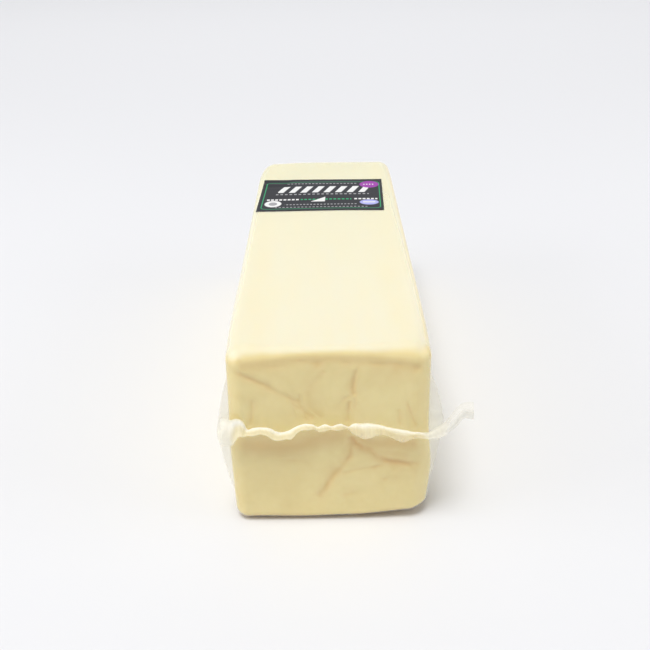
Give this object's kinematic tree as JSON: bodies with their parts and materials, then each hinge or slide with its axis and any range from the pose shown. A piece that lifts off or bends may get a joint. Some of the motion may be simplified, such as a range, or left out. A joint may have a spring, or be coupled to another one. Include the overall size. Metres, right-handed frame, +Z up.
{
  "type": "vacuum-packed loaf of aged cheddar cheese",
  "caption": "Long block of pale aged cheddar in skin-tight clear film, with a wavy end seal, loose film ears and a dark label on top.",
  "frame": {"origin": "middle of the flat underside", "axes": "+Y along the loaf towards the labelled far end, away from the seal with the loose tail; +Z up from the underside; +X to the right when looking along +Y"},
  "size_m": [0.1138, 0.2977, 0.0927],
  "materials": {
    "cheese": "pale ivory cheddar, dense and waxy, under tight clear film",
    "film": "thin clear shrink film, milky where layers meet",
    "label": "coated charcoal paper with a printed pattern of plain shapes"
  },
  "bodies": {
    "root": {"cheese_block": "cheese", "film_front_seal": "film", "film_rear_seal": "film", "label": "label"}
  },
  "joints": []
}
